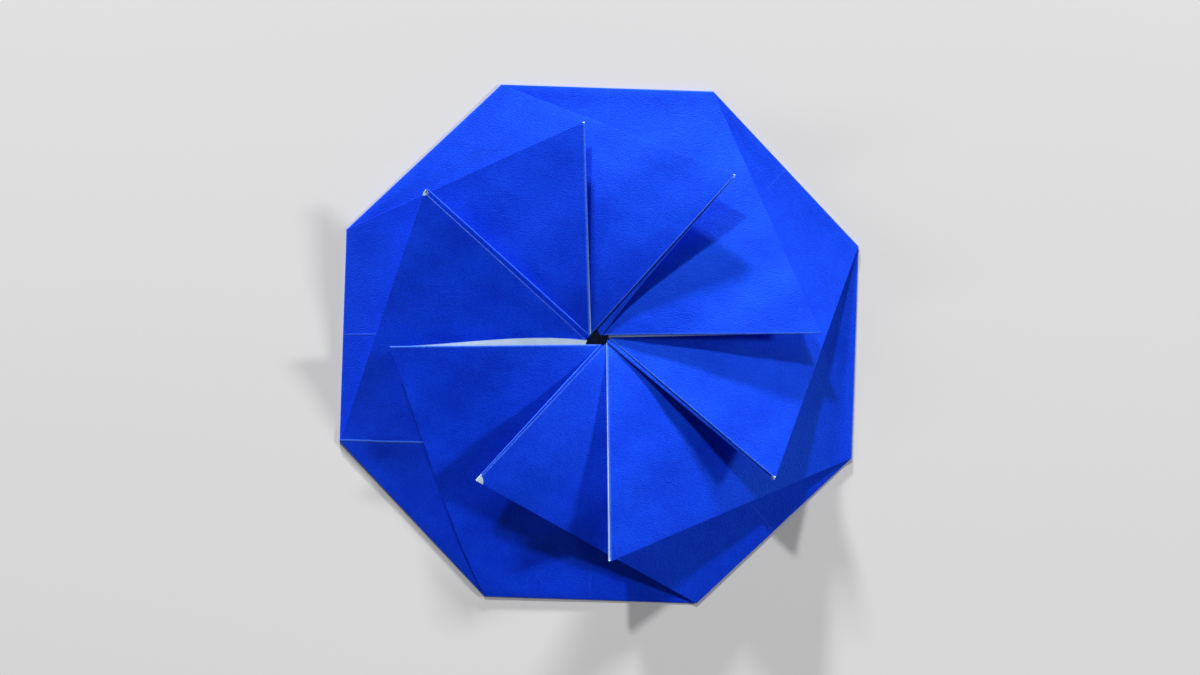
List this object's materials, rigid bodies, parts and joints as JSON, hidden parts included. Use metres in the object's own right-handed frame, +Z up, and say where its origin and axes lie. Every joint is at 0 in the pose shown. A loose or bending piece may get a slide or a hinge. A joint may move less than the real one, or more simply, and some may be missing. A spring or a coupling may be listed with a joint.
{
  "type": "origami pouch",
  "caption": "Flat octagonal pouch folded from a square sheet of paper, with overlapping pinwheel flaps that lock each other shut.",
  "frame": {"origin": "middle of the underside of the flat base, on the surface that the pouch lies on", "axes": "+Z up, away from the base and out through the pinwheel of flaps; +X and +Y towards the middles of two sides"},
  "size_m": [0.076, 0.076, 0.0081],
  "materials": {
    "paper": "satin"
  },
  "bodies": {
    "root": {"folded_sheet": "paper"}
  },
  "joints": []
}
